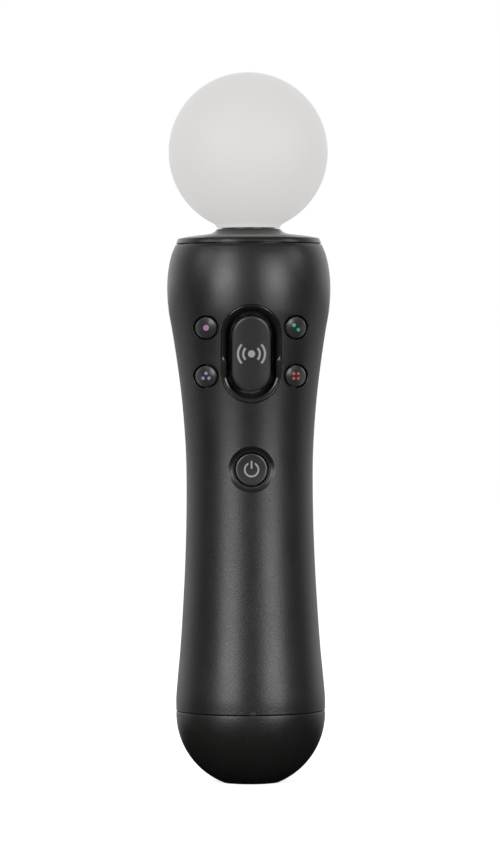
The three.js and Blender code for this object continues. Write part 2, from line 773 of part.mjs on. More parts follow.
// Thin flat cable from x0 to x1, following points in Y and Z with square-cut turns.
function flatCable(points, x0, x1) {
  const at = points.map(([y, z]) => new THREE.Vector2(y, z));
  const across = (i) => {
    const [before, after] = [at[Math.max(i - 1, 0)], at[Math.min(i + 1, at.length - 1)]];
    const along = after.clone().sub(before).normalize();
    return new THREE.Vector2(-along.y, along.x).multiplyScalar(flexThick);
  };
  const back = at.map((p, i) => p.clone().add(across(i))).reverse();
  return pulledX(new THREE.Shape([...at, ...back]), x0, x1);
}

function ledFlex() {
  return flatCable([[5, 147.1], [8, 146.6], [9.2, 144], [9.2, 141], [-2, 140.6], [-6.9, 141.2]], -3, 3);
}

function portFlex() {
  return flatCable([[-5.5, 11.8], [-10, 14], [-12, 22], [-12, 40], [-9.4, 56], [-9.2, 66]], -4, 2);
}

function portBoard() {
  return slab(8.5, [-7.4, 9.9], [7.4, 11.1]);
}

// Open-mouthed socket whose rim stands just inside the foot.
function socket({ y, w, d, wallX, wallY, depth }) {
  const shell = slab(w / 2, [y - d / 2, port.rim], [y + d / 2, port.top]);
  return shell.subtract(slab(w / 2 - wallX, [y - d / 2 + wallY, -1], [y + d / 2 - wallY, depth]));
}

function usbTongue() {
  return slab(2.9, [usb.y - 0.5, 1.6], [usb.y + 0.5, 8.6]);
}

// Pin in the foot with an arm to its pad on the port board.
function chargeContact(s) {
  const pin = rodZ(contact.r, contact.tip, 7, s * contact.x, 0, 16);
  const pad = rodZ(contact.padR, 7, 9.7, s * contact.padX, 0, 12);
  return join(pin, pad, sideBlock(s, contact.x, contact.padX + 0.4, [-0.8, 6], [0.8, 7.4]));
}

// Cross-head screw at x, z: its head sits from seatY towards side out (1 is +Y) and its shank runs back.
function screw({ x, z, seatY, out, length, headR, shankR }) {
  const rod = (r, from, to, sides) => rodY(r, Math.min(from, to), Math.max(from, to), x, z, sides);
  const top = seatY + out * 1.2;
  const [y0, y1] = [seatY + out * 0.6, seatY + out * 3].sort((p, q) => p - q);
  const slot = (w, h) => block([x - w, y0, z - h], [x + w, y1, z + h]);
  return rod(headR, seatY, top, 16)
    .add(rod(shankR, seatY - out * length, seatY + out * 0.1, 12))
    .subtract(slot(0.9, 0.25).add(slot(0.25, 0.9)));
}

// ---- finishes -----------------------------------------------------------------------------------
function finish(color, roughness, metalness) {
  return new THREE.MeshStandardMaterial({ color, roughness, metalness });
}
const finishes = {
  shell: finish(0x1d1d1c, 0.42, 0),
  gloss: finish(0x0a0a0a, 0.15, 0),
  key: finish(0x232323, 0.35, 0),
  ball: finish(0xe4e2df, 0.55, 0),
  frame: finish(0x3a3a3a, 0.6, 0),
  board: finish(0x1f5a34, 0.45, 0),
  silicone: finish(0x8d9094, 0.7, 0),
  steel: finish(0xb4b6b8, 0.3, 1),
  gold: finish(0xd6b25a, 0.25, 1),
  cell: finish(0x30405c, 0.4, 0),
  clear: finish(0xd9e2e6, 0.1, 0),
  flex: finish(0xb86b2a, 0.45, 0),
};

// ---- assembly -----------------------------------------------------------------------------------
const controller = new THREE.Group();
function add(name, body, material) {
  const mesh = new THREE.Mesh(geometryOf(body), material);
  mesh.name = name;
  controller.add(mesh);
}

add("light_ball", lightBall(), finishes.ball);
add("top_cap", topCap(), finishes.gloss);
add("front_shell", frontShell(), finishes.shell);
add("rear_shell", rearShell(), finishes.shell);
add("end_cap", endCap(), finishes.shell);
add("center_bezel", centerBezel(), finishes.gloss);
add("status_window", statusWindow(), finishes.clear);

add("center_button", centerButton(), finishes.key);
add("top_left_button", actionButton(-1, action.topZ), finishes.key);
add("top_right_button", actionButton(1, action.topZ), finishes.key);
add("bottom_left_button", actionButton(-1, action.lowZ), finishes.key);
add("bottom_right_button", actionButton(1, action.lowZ), finishes.key);
add("home_button", homeButton(), finishes.key);
add("select_button", sideButton(-1), finishes.key);
add("start_button", sideButton(1), finishes.key);
add("reset_button", resetButton(), finishes.key);

add("trigger", trigger(), finishes.gloss);
add("trigger_pin", rodX(pivot.r, -pivot.half, pivot.half, pivot.y, pivot.z, 16), finishes.steel);
add("trigger_spring", triggerSpring(), finishes.steel);
add("trigger_bracket", triggerBracket(), finishes.frame);
add("trigger_pad", rodY(2.2, bracket.back + 0.15, 9.2, 0, 114, 14), finishes.silicone);

add("inner_frame", innerFrame(), finishes.frame);
add("main_board", mainBoard(), finishes.board);
add("button_mat", buttonMat(), finishes.silicone);
add("radio_shield", radioShield(), finishes.steel);
add("select_switch", sideSwitch(-1), finishes.steel);
add("start_switch", sideSwitch(1), finishes.steel);
add("reset_switch", slab(2.2, [7.85, reset.z - 2], [10.2, reset.z + 2]), finishes.steel);

add("battery", batteryPack(), finishes.cell);
add("battery_lead", batteryLead(), finishes.silicone);
add("battery_plug", block([3.4, board.back + 0.3, 97], [8.2, -4, 101]), finishes.ball);
add("motor_can", motorCan(), finishes.steel);
add("motor_sleeve", motorSleeve(), finishes.silicone);
add("motor_shaft", motorShaft(), finishes.steel);
add("motor_weight", motorWeight(), finishes.steel);
add("motor_lead", motorLead(), finishes.silicone);

add("led_board", ledBoard(), finishes.board);
add("led_emitter", ledEmitter(), finishes.clear);
add("light_guide", lightGuide(), finishes.clear);
add("led_flex", ledFlex(), finishes.flex);

add("port_board", portBoard(), finishes.board);
add("usb_socket", socket(usb), finishes.steel);
add("usb_tongue", usbTongue(), finishes.gloss);
add("ext_connector", socket(ext), finishes.gloss);
add("charge_contact_left", chargeContact(-1), finishes.gold);
add("charge_contact_right", chargeContact(1), finishes.gold);
add("port_flex", portFlex(), finishes.flex);
add("strap_bar", rodX(strap.barR, -4.8, 5.2, strap.y, strap.z, 16), finishes.steel);

const shellScrew = { seatY: post.boreY + gap, out: 1, length: 13.3, headR: post.headR, shankR: post.shankR };
screwPosts.forEach(({ x, z }, row) => {
  [-x, x].forEach((at, column) => {
    add(`shell_screw_${2 * row + column + 1}`, screw({ ...shellScrew, x: at, z }), finishes.steel);
  });
});
const boardScrew = { seatY: board.front - gap, out: -1, length: 4.3, headR: 1.5, shankR: 0.7 };
boardScrews.forEach(({ x, z }, i) => {
  add(`board_screw_${i + 1}`, screw({ ...boardScrew, x, z }), finishes.steel);
});

export default controller;
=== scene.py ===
import json
import math
import bpy
import bmesh
from mathutils import Matrix, Vector


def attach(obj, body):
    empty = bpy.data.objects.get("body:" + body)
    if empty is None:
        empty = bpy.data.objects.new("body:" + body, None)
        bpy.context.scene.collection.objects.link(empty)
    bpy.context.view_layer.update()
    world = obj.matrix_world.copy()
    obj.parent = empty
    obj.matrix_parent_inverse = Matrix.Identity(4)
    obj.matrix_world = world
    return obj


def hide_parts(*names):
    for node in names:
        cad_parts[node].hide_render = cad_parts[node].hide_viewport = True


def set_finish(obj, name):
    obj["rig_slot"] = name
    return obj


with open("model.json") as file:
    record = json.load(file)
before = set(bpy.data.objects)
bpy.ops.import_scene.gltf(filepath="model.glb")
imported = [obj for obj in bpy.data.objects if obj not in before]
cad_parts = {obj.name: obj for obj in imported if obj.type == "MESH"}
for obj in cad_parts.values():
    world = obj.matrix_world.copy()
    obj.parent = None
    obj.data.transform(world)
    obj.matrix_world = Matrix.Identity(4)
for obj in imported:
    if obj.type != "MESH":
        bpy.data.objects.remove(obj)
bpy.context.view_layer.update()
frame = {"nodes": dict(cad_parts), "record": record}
nodes = frame["nodes"]
mm = 0.001
print("frame loaded:", len(nodes), "nodes")


# The camera comes first, so that every shape is made for its view.
camera = {
    "target": (0.16, 0.0, 98.6),    # the point the lens looks at, mm
    "distance": 1311.0,            # mm
    "eyeHeight": 117.5,
    "azimuth": -1.9,               # degrees, negative is towards -X
    "roll": -0.26,
    "focalLength": 193.6,
    "sensorWidth": 36.0,
    "clip": (0.05, 20.0),          # m
}


def makeCamera(c):
    data = bpy.data.cameras.new("studioCamera")
    data.lens = c["focalLength"]
    data.sensor_width = c["sensorWidth"]
    data.clip_start, data.clip_end = c["clip"]
    cam = bpy.data.objects.new("studioCamera", data)
    bpy.context.scene.collection.objects.link(cam)
    a = math.radians(c["azimuth"])
    eye = Vector((math.sin(a) * c["distance"], -math.cos(a) * c["distance"], c["eyeHeight"])) * mm
    look = Vector(c["target"]) * mm - eye
    aim = look.to_track_quat("-Z", "Y").to_matrix()
    roll = Matrix.Rotation(math.radians(c["roll"]), 3, "Z")
    cam.matrix_world = Matrix.Translation(eye) @ (aim @ roll).to_4x4()
    bpy.context.scene.camera = cam


makeCamera(camera)
print("camera ready")


# The handle's outer form: height and radius in mm, joined by a smooth curve.
handle = {
    "stations": [
        (20.4, 21.0), (24, 21.0), (30, 20.5), (38, 19.75), (48, 19.05), (60, 18.38),
        (72, 17.95), (83, 17.8), (92, 17.9), (101, 18.38), (110, 19.2), (119, 20.35),
        (127.5, 21.65), (133, 22.6), (139, 23.0), (144, 22.7), (148.5, 21.8), (151.5, 20.6),
    ],
    "wall": 1.7,
    "bottom": 20.4,
    "top": 151.5,
}


def handleRadius(z):
    points = handle["stations"]
    last = len(points) - 1
    i = 0
    while i < last - 1 and z > points[i + 1][0]:
        i += 1

    def slope(k):
        (z0, r0), (z1, r1) = points[max(k - 1, 0)], points[min(k + 1, last)]
        return (r1 - r0) / (z1 - z0)

    (z0, r0), (z1, r1) = points[i], points[i + 1]
    span = z1 - z0
    t = min(max((z - z0) / span, 0), 1)
    t2, t3 = t * t, t * t * t
    start, end = (2 * t3 - 3 * t2 + 1) * r0, (3 * t2 - 2 * t3) * r1
    return start + (t3 - 2 * t2 + t) * span * slope(i) + end + (t3 - t2) * span * slope(i + 1)


poleRadius = 0.01    # mm, a ring this small is one point or one line


# A new piece from a bmesh drawn in mm: doubles merged, faces out, smooth but for edges sharper
# than the angle.
def pieceFrom(bm, name, sharp=32):
    bmesh.ops.remove_doubles(bm, verts=bm.verts, dist=0.0008)
    bmesh.ops.recalc_face_normals(bm, faces=bm.faces)
    bmesh.ops.scale(bm, vec=(mm, mm, mm), verts=bm.verts)
    mesh = bpy.data.meshes.new(name)
    bm.to_mesh(mesh)
    bm.free()
    smoothMesh(mesh, sharp)
    piece = bpy.data.objects.new(name, mesh)
    bpy.context.scene.collection.objects.link(piece)
    return piece


def smoothMesh(mesh, sharp):
    mesh.polygons.foreach_set("use_smooth", [True] * len(mesh.polygons))
    mesh.set_sharp_from_angle(angle=math.radians(sharp))


# Radius and height pairs turned round Z.
def spinProfile(bm, profile, steps, angle=360.0, closed=False):
    verts = [bm.verts.new((r, 0, z)) for r, z in profile]
    pairs = list(zip(verts, verts[1:])) + ([(verts[-1], verts[0])] if closed else [])
    edges = [bm.edges.new(pair) for pair in pairs]
    whole = angle >= 360
    bmesh.ops.spin(
        bm, geom=verts + edges, cent=(0, 0, 0), axis=(0, 0, 1), dvec=(0, 0, 0),
        angle=math.radians(angle), steps=steps, use_merge=whole, use_normal_flip=False, use_duplicate=False,
    )


# Rings (radius, depth) stacked from a round or pill outline that faces -Y. A pill has a straight
# middle 2 * half tall; depth counts inwards along +Y. The first ring closes to a pole when it is tiny.
def stackRings(bm, rings, half=0.0, steps=48, capped=True):
    turn = Matrix.Rotation(math.pi / steps, 4, "Y") @ Matrix.Rotation(math.pi / 2, 4, "X")
    made = bmesh.ops.create_circle(bm, cap_ends=False, segments=steps, radius=1, matrix=turn)
    for v in made["verts"]:
        v.co.z += math.copysign(half, v.co.z)
    long = [e for e in bm.edges if half and e.calc_length() > half]
    bmesh.ops.subdivide_edges(bm, edges=long, cuts=max(2, int(half * 3)))
    firstVerts, firstEdges = list(bm.verts), list(bm.edges)
    verts, edges = firstVerts, firstEdges
    for index, (radius, depth) in enumerate(rings):
        if index:
            grown = bmesh.ops.extrude_edge_only(bm, edges=edges)["geom"]
            edges = [g for g in grown if isinstance(g, bmesh.types.BMEdge) and len(g.link_faces) == 1]
            verts = list({v for e in edges for v in e.verts})
        for v in verts:
            middle = Vector((0, v.co.y, min(max(v.co.z, -half), half)))
            out = (v.co - middle).normalized()
            v.co = middle + out * radius
            v.co.y = depth
    if capped:
        bmesh.ops.edgeloop_fill(bm, edges=edges)
    if capped and rings[0][0] > poleRadius:
        bmesh.ops.edgeloop_fill(bm, edges=firstEdges)
    elif capped:
        bmesh.ops.remove_doubles(bm, verts=firstVerts, dist=2.5 * poleRadius)


# Moves a stack to x, z on the handle's front and bends its depths to the handle's form.
def wrapFront(bm, x, z, back=None):
    for v in bm.verts:
        v.co.x += x
        v.co.z += z
        if back is None or v.co.y < back:
            r = handleRadius(v.co.z)
            v.co.y -= math.sqrt(max(r * r - v.co.x * v.co.x, 1))


# The same for the side wall: side is 1 for +X and -1 for -X.
def wrapSide(bm, side, y, z):
    for v in bm.verts:
        depth, across, up = v.co.y, v.co.x + y, v.co.z + z
        r = handleRadius(up)
        v.co = Vector((side * (math.sqrt(r * r - across * across) - depth), across, up))


def cutWith(piece, cutters, sharp=32):
    for cutter in cutters:
        tool = piece.modifiers.new("cut", "BOOLEAN")
        tool.operation, tool.solver, tool.object = "DIFFERENCE", "EXACT", cutter
    bpy.context.view_layer.update()
    graph = bpy.context.evaluated_depsgraph_get()
    mesh = bpy.data.meshes.new_from_object(piece.evaluated_get(graph))
    piece.modifiers.clear()
    piece.data = mesh
    smoothMesh(mesh, sharp)
    for cutter in cutters:
        bpy.data.objects.remove(cutter)


def blockPiece(name, low, high):
    bm = bmesh.new()
    size = [b - a for a, b in zip(low, high)]
    middle = [(a + b) / 2 for a, b in zip(low, high)]
    box = Matrix.Translation(middle) @ Matrix.Diagonal((*size, 1))
    bmesh.ops.create_cube(bm, size=1, matrix=box)
    return pieceFrom(bm, name)


# An arc of points [radius, height] about a centre, angles in degrees from straight down.
def arc(r, z, start, end, steps):
    angles = [math.radians(start + (end - start) * i / steps) for i in range(steps + 1)]
    return [(r * math.sin(a), z - r * math.cos(a)) for a in angles]


def settle(piece, body, slot, *replaced):
    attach(piece, body)
    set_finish(piece, slot)
    if replaced:
        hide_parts(*replaced)


ball = {
    "radius": 22.4, "height": 177.6, "wall": 1.6, "bore": 8.2, "neckHeight": 156.2,
    "neck": [(8.6, 0), (8.84, 0.08), (8.95, 0.3), (9.12, 0.6), (9.4, 0.95), (9.72, 1.2)],
    "lip": 0.2, "knee": 10.05,    # the neck's heights are above neckHeight
}


def makeBall(b):
    bm = bmesh.new()
    knee = math.degrees(math.asin(b["knee"] / b["radius"]))
    mouth = math.degrees(math.asin(b["bore"] / (b["radius"] - b["wall"])))
    outer = arc(b["radius"], b["height"], knee, 180, 64)
    inner = arc(b["radius"] - b["wall"], b["height"], 180, mouth, 40)
    neck = [(r, b["neckHeight"] + rise) for r, rise in b["neck"]]
    lip = [(b["bore"], b["neckHeight"] + b["lip"]), (b["bore"] + b["lip"], b["neckHeight"])]
    spinProfile(bm, lip + neck + outer, 128)
    spinProfile(bm, inner + [lip[0]], 128)
    return pieceFrom(bm, "lightBall", 50)


settle(makeBall(ball), "housing", "ball_skin", "light_ball")

topCap = {
    "rim": [(18.3, 151.72), (20.2, 151.72), (20.32, 151.78), (20.38, 151.92), (20.32, 152.2),
            (19.95, 153.08), (19.86, 153.2), (19.7, 153.26), (18.8, 153.44)],
    "dome": [(17.2, 153.78), (15.2, 154.05), (13.2, 154.26), (11.8, 154.42)],
    "collar": [(10.9, 154.58), (10.2, 154.82), (9.65, 155.14), (9.25, 155.5), (9.05, 155.78),
               (8.85, 155.9), (7.5, 155.9)],
    "neck": [(7.5, 159.2), (7.9, 159.7), (7.9, 160.5), (7.2, 161), (5.7, 161), (5.7, 153.6), (7.2, 153.3),
             (7.2, 152.7), (16.9, 152.4), (16.9, 149.3), (18.3, 149.3)],
}


def makeTopCap(c):
    bm = bmesh.new()
    spinProfile(bm, c["rim"] + c["dome"] + c["collar"] + c["neck"], 144, closed=True)
    return pieceFrom(bm, "topCap", 35)


topCapPiece = makeTopCap(topCap)
settle(topCapPiece, "housing", "gloss_black", "top_cap")
print("ball and top cap made")


controls = {
    "thumb": {"z": 120.7, "r": 5.4, "half": 5.05},
    "well": {"outer": 8.35, "half": 5.25},
    "actions": [(-12.55, 128.0), (12.55, 128.0), (-12.55, 114.5), (12.55, 114.5)],
    "actionR": 2.95,
    "actionHole": 3.42,
    "home": {"z": 88.5, "r": 4.5, "hole": 4.9, "dish": 6.5, "depth": 1.0},
    "side": {"y": -2.8, "z": 101, "r": 1.2, "half": 3.0, "clear": 0.16,
             "flange": 0.7, "flangeDepths": (2.3, 2.85)},
}
shell = {"rows": 150, "innerRows": 36, "steps": 144, "seam": 0.06, "chamfer": 0.14}
seamLip = {"low": 27.0, "high": 148.5, "gap": 0.04, "thick": 0.25, "halfAngle": 2.2}


# Half of the tube: wall outline turned through half a circle, ends filled, outer edges chamfered.
def halfTube(name, front):
    bm = bmesh.new()
    low, high, chamfer = handle["bottom"], handle["top"], shell["chamfer"]
    rows, innerRows = shell["rows"], shell["innerRows"]
    outerHeights = [low + chamfer + (high - low - 2 * chamfer) * i / rows for i in range(rows + 1)]
    innerHeights = [high - (high - low) * i / innerRows for i in range(innerRows + 1)]
    outer = [(handleRadius(z), z) for z in outerHeights]
    inner = [(handleRadius(z) - handle["wall"], z) for z in innerHeights]
    ends = [(handleRadius(high) - chamfer, high)], [(handleRadius(low) - chamfer, low)]
    spinProfile(bm, outer + ends[0] + inner + ends[1], shell["steps"], 180, closed=True)
    border = [e for e in bm.edges if len(e.link_faces) == 1]
    bmesh.ops.edgeloop_fill(bm, edges=[e for e in border if e.verts[0].co.x > 0])
    bmesh.ops.edgeloop_fill(bm, edges=[e for e in border if e.verts[0].co.x < 0])
    bmesh.ops.recalc_face_normals(bm, faces=bm.faces)

    def onOutside(v):
        return math.hypot(v.co.x, v.co.y) - handleRadius(v.co.z) > -0.01

    corner = [e for e in border if all(onOutside(v) for v in e.verts)]
    for v in {v for f in bm.faces if len(f.verts) > 20 for v in f.verts}:
        v.co.y += shell["seam"]
    bmesh.ops.bevel(bm, geom=corner, offset=chamfer, offset_type="OFFSET", segments=2, profile=0.5,
                    affect="EDGES", material=-1, clamp_overlap=True)
    if front:
        bmesh.ops.rotate(bm, verts=bm.verts, cent=(0, 0, 0), matrix=Matrix.Rotation(math.pi, 3, "Z"))
    return pieceFrom(bm, name)


cutMouth = {"flare": 2, "far": -20, "near": -2}    # a front cutter widens outside the surface, mm


# A cutter for a hole on the front: straight bore with a small chamfer that follows the surface.
def frontCutter(x, z, radius, half=0.0, rim=0.13, deep=8.0):
    bm = bmesh.new()
    wide = radius + rim + cutMouth["flare"]
    mouth = [(wide, cutMouth["far"]), (wide, cutMouth["near"])]
    rings = mouth + [(radius + rim, 0), (radius, rim), (radius, deep)]
    stackRings(bm, rings, half, 64)
    wrapFront(bm, x, z)
    return pieceFrom(bm, "cutter")


def dishCutter(h):
    bm = bmesh.new()
    width = h["dish"] - h["hole"]
    curve = [(h["dish"] - width * i / 8, h["depth"] * math.sin(math.pi / 2 * i / 8) ** 1.2)
             for i in range(1, 9)]
    wide = h["dish"] + cutMouth["flare"]
    mouth = [(wide, cutMouth["far"]), (wide, cutMouth["near"]), (h["dish"] + 0.08, -0.05)]
    rings = mouth + curve + [(h["hole"], 8)]
    stackRings(bm, rings, 0, 72)
    wrapFront(bm, 0, h["z"])
    return pieceFrom(bm, "cutter")


def sideCutter(side, s):
    bm = bmesh.new()
    hole = s["r"] + s["clear"]
    rings = [(hole + 1.06, -6), (hole + 1.06, -1), (hole + 0.06, 0), (hole, 0.06), (hole, 6)]
    stackRings(bm, rings, s["half"], 48)
    wrapSide(bm, side, s["y"], s["z"])
    return pieceFrom(bm, "cutter")


windowHole = {"r": 0.98, "deep": 6, "steps": 32, "y": -24}
resetHole = {"r": 1.05, "deep": 8, "steps": 32, "y": 13, "z": 62}
screwHole = {"r": 2.2, "deep": 14, "steps": 40, "y": 12}
screws = [(11.5, 29.0), (-11.5, 29.0), (11.5, 142.8), (-11.5, 142.8)]


# A cutter for a plain bore along +Y.
def boreCutter(hole, x, z):
    bm = bmesh.new()
    stackRings(bm, [(hole["r"], 0), (hole["r"], hole["deep"])], 0, hole["steps"])
    for v in bm.verts:
        v.co += Vector((x, hole["y"], z))
    return pieceFrom(bm, "cutter")


frontShell = halfTube("frontShell", True)
frontCuts = [frontCutter(x, z, controls["actionHole"]) for x, z in controls["actions"]]
well = controls["well"]
frontCuts.append(frontCutter(0, controls["thumb"]["z"], well["outer"] + 0.12, well["half"], 0.1))
frontCuts.append(dishCutter(controls["home"]))
frontCuts += [sideCutter(s, controls["side"]) for s in (-1, 1)]
frontCuts.append(boreCutter(windowHole, 0, handle["bottom"]))
cutWith(frontShell, frontCuts)
settle(frontShell, "housing", "shell_plastic", "front_shell")
print("front shell made")

trigger = {
    "axleY": 18.2, "axleZ": 134.5, "reach": 27.95, "roll": 4.4, "halfWidth": 6.2,
    "slotGap": 0.4, "slotEnd": 0.5, "slotCorner": 2.0,
    "slotSteps": [(0, 18), (0.14, 18.14), (1.2, 19.2), (0, 32)],    # growth and Y
    "slotSurface": 18.14,
    "backY": 15.2, "lip": (10.9, -25.4), "nose": (28.9, 111.6), "slices": 14, "edge": 1.15,
    "dish": 0.55, "dishY": 22.4, "dishLow": 111.0, "dishHigh": 137,
}


# Rounded slot with a chamfered mouth, drawn flat and bent to the handle's back.
def slotCutter(t):
    bm = bmesh.new()
    low, high = t["axleZ"] - t["reach"] - t["slotEnd"], t["axleZ"] + t["roll"] + t["slotEnd"]
    middle = (low + high) / 2
    x = t["halfWidth"] + t["slotGap"]
    upright = Matrix.Rotation(-math.pi / 2, 4, "X")
    bmesh.ops.create_grid(bm, x_segments=1, y_segments=1, size=1, matrix=upright)
    for v in bm.verts:
        v.co = Vector((math.copysign(x, v.co.x), 8, high if v.co.z > 0 else low))
    foot = [v for v in bm.verts if v.co.z < middle]
    bmesh.ops.bevel(bm, geom=foot, offset=t["slotCorner"], offset_type="OFFSET", segments=8, profile=0.5,
                    affect="VERTICES", material=-1, clamp_overlap=True)
    long = [e for e in bm.edges if e.calc_length() > 8]
    bmesh.ops.subdivide_edges(bm, edges=long, cuts=20)
    face = list(bm.faces)
    for step, (grow, y) in enumerate(t["slotSteps"]):
        made = bmesh.ops.extrude_face_region(bm, geom=face)["geom"]
        if step:
            bmesh.ops.delete(bm, geom=face, context="FACES_ONLY")
        face = [g for g in made if isinstance(g, bmesh.types.BMFace)]
        for v in {v for f in face for v in f.verts}:
            wider = math.copysign(grow, v.co.x) if abs(v.co.x) > x - 3 else 0
            v.co += Vector((wider, 0, math.copysign(grow, v.co.z - middle)))
            v.co.y = y
    for v in bm.verts:
        if v.co.y > 10:
            r = handleRadius(v.co.z)
            v.co.y += math.sqrt(max(r * r - v.co.x * v.co.x, 1)) - t["slotSurface"]
    return pieceFrom(bm, "cutter")


rearShell = halfTube("rearShell", False)
rearCuts = [slotCutter(trigger), boreCutter(resetHole, 0, resetHole["z"])]
rearCuts += [boreCutter(screwHole, x, z) for x, z in screws]
cutWith(rearShell, rearCuts)


# A thin strip inside each side seam, so that no light passes between the halves.
def addSeamLips(piece, lip):
    bm = bmesh.new()
    bm.from_mesh(piece.data)
    bmesh.ops.scale(bm, vec=(1 / mm, 1 / mm, 1 / mm), verts=bm.verts)
    heights = [lip["low"] + (lip["high"] - lip["low"]) * i / 40 for i in range(41)]
    outside = [(handleRadius(z) - handle["wall"] - lip["gap"], z) for z in heights]
    outline = outside + [(r - lip["thick"], z) for r, z in reversed(outside)]
    for middle in (0, 180):
        known = set(bm.verts)
        spinProfile(bm, outline, 4, 2 * lip["halfAngle"], closed=True)
        strip = [v for v in bm.verts if v not in known]
        ends = {e for v in strip for e in v.link_edges if len(e.link_faces) == 1}
        for side in (-1, 1):
            near = [e for e in ends if all((v.co.y > 0.01) == (side > 0) for v in e.verts)]
            bmesh.ops.edgeloop_fill(bm, edges=near)
        turn = Matrix.Rotation(math.radians(middle - lip["halfAngle"]), 3, "Z")
        bmesh.ops.rotate(bm, verts=strip, cent=(0, 0, 0), matrix=turn)
    bmesh.ops.recalc_face_normals(bm, faces=bm.faces)
    bmesh.ops.scale(bm, vec=(mm, mm, mm), verts=bm.verts)
    bm.to_mesh(piece.data)
    bm.free()
    smoothMesh(piece.data, 32)


addSeamLips(rearShell, seamLip)
settle(rearShell, "housing", "shell_plastic", "rear_shell")
print("rear shell made")


endCap = {
    "radius": 21.0, "height": 19.5, "foot": 7.2, "inner": 19.2, "floor": 2.2, "top": 20.2,
    "lip": [(18.9, 20.2), (18.9, 23.4), (17.6, 23.4), (17.6, 20.2), (17.6, 18.2)],
    "pocket": ((-3.5, 12, 6.5), (3.5, 25, 11.5)),
    "ports": [((-4.0, -5.5, -1), (4.0, -1.3, 5)), ((-4.75, 1.55, -1), (4.75, 5.05, 5))],
    "contact": {"x": 5.6, "r": 1.1, "low": -1, "high": 5},
}


def makeEndCap(c):
    bm = bmesh.new()
    start = math.degrees(math.asin((c["foot"] + 0.6) / c["radius"]))
    rim = [(r, z) for r, z in arc(c["radius"], c["height"], start, 92, 48) if z < c["top"] - 0.15]
    foot = [(0, 0), (c["foot"] - 0.4, 0), (c["foot"], 0.03), (c["foot"] + 0.3, 0.1)]
    edge = [(c["radius"] - 0.03, c["top"] - 0.14), (c["radius"] - 0.15, c["top"])]
    side = arc(c["inner"], c["height"], 66, 26, 20)
    spinProfile(bm, foot + rim + edge + c["lip"] + side + [(8, c["floor"]), (0, c["floor"])], 144)
    return pieceFrom(bm, "endCap")


endCapPiece = makeEndCap(endCap)
pocket = blockPiece("cutter", *endCap["pocket"])
ports = [blockPiece("cutter", low, high) for low, high in endCap["ports"]]


def contactCutter(c, side):
    bm = bmesh.new()
    spinProfile(bm, [(0, c["low"]), (c["r"], c["low"]), (c["r"], c["high"]), (0, c["high"])], 32)
    bmesh.ops.translate(bm, verts=bm.verts, vec=(side * c["x"], 0, 0))
    return pieceFrom(bm, "cutter")


contacts = [contactCutter(endCap["contact"], side) for side in (-1, 1)]
cutWith(endCapPiece, ports + contacts + [pocket])
settle(endCapPiece, "housing", "shell_plastic", "end_cap")
print("end cap made")


# Ring that lines the thumb button's well: rolled outer edge, slope inwards, wall and floor. The slope
# is steep round the upper half, flat beside the thumb's rest and a little steeper below it.
bezel = {
    "rings": [(8.35, 5.0), (8.35, 0.22), (8.29, 0.09), (8.15, 0.05), (7.95, 0.16), (7.6, 0.5),
              (7.25, 0.95), (7.05, 1.3), (7.0, 1.5), (7.0, 4.2), (5.8, 4.2), (5.8, 5.0)],
    "slopeDepths": (0.04, 2.0),
    # by height from the button's middle
    "steepness": [(-6.3, 0.5), (-5.7, 0.24), (-1.9, 0.24), (-1.0, 1.25)],
}


def steepnessAt(steps, z):
    if z <= steps[0][0]:
        return steps[0][1]
    for (z0, a), (z1, b) in zip(steps, steps[1:]):
        if z < z1:
            return a + (b - a) * (z - z0) / (z1 - z0)
    return steps[-1][1]


def makeBezel(b):
    bm = bmesh.new()
    stackRings(bm, b["rings"], controls["well"]["half"], 96, capped=False)
    border = [e for e in bm.edges if len(e.link_faces) == 1]
    bmesh.ops.bridge_loops(bm, edges=border)
    for v in bm.verts:
        if b["slopeDepths"][0] < v.co.y < b["slopeDepths"][1]:
            v.co.y *= steepnessAt(b["steepness"], v.co.z)
    wrapFront(bm, 0, controls["thumb"]["z"])
    return pieceFrom(bm, "thumbBezel", 40)


settle(makeBezel(bezel), "housing", "gloss_black", "center_bezel")


# A button: face rings from its middle to its rolled edge, then the skirt down to its foot.
def buttonFace(radius, crown, proud, roll, skirt):
    face = [(radius * k / 10, -proud - crown * (1 - (k / 10) ** 2)) for k in (0, 1, 2, 3, 4, 5, 6, 7, 8)]
    face[0] = (poleRadius, face[0][1])
    face.append((radius * 0.9, -proud - crown * 0.19))
    edge = [(radius - roll + roll * math.sin(a), -proud + roll * (1 - math.cos(a)))
            for a in (math.radians(15 * i) for i in range(1, 7))]
    return face + [p for p in edge if p[0] > radius * 0.9] + [(radius, skirt)]


def makeButton(name, body, node, rings, x, z, half=0.0, steps=64):
    bm = bmesh.new()
    stackRings(bm, rings, half, steps)
    wrapFront(bm, x, z)
    piece = pieceFrom(bm, name, 40)
    settle(piece, body, "key_plastic", node)
    return piece


thumbRings = buttonFace(controls["thumb"]["r"], 0.12, 0.0, 0.45, 4.4)
actionRings = buttonFace(controls["actionR"], 0.65, 0.0, 0.35, 3.6)
homeRings = [(poleRadius, 1.25), (1, 1.23), (2, 1.16), (3, 1.06), (3.7, 0.97), (4.05, 0.93),
             (4.3, 0.94), (4.44, 1.03), (4.5, 1.2), (4.5, 3.2)]
thumbPiece = makeButton("thumbButton", "thumb_button", "center_button", thumbRings, 0,
                        controls["thumb"]["z"], controls["thumb"]["half"], 96)
actionNames = ["topLeft", "topRight", "bottomLeft", "bottomRight"]
actionNodes = ["top_left", "top_right", "bottom_left", "bottom_right"]
actionPieces = [
    makeButton(name + "Button", body, body + "_button", actionRings, x, z)
    for name, body, (x, z) in zip(actionNames, actionNodes, controls["actions"])
]
homePiece = makeButton("homeButton", "home", "home_button", homeRings, 0, controls["home"]["z"], 0, 72)


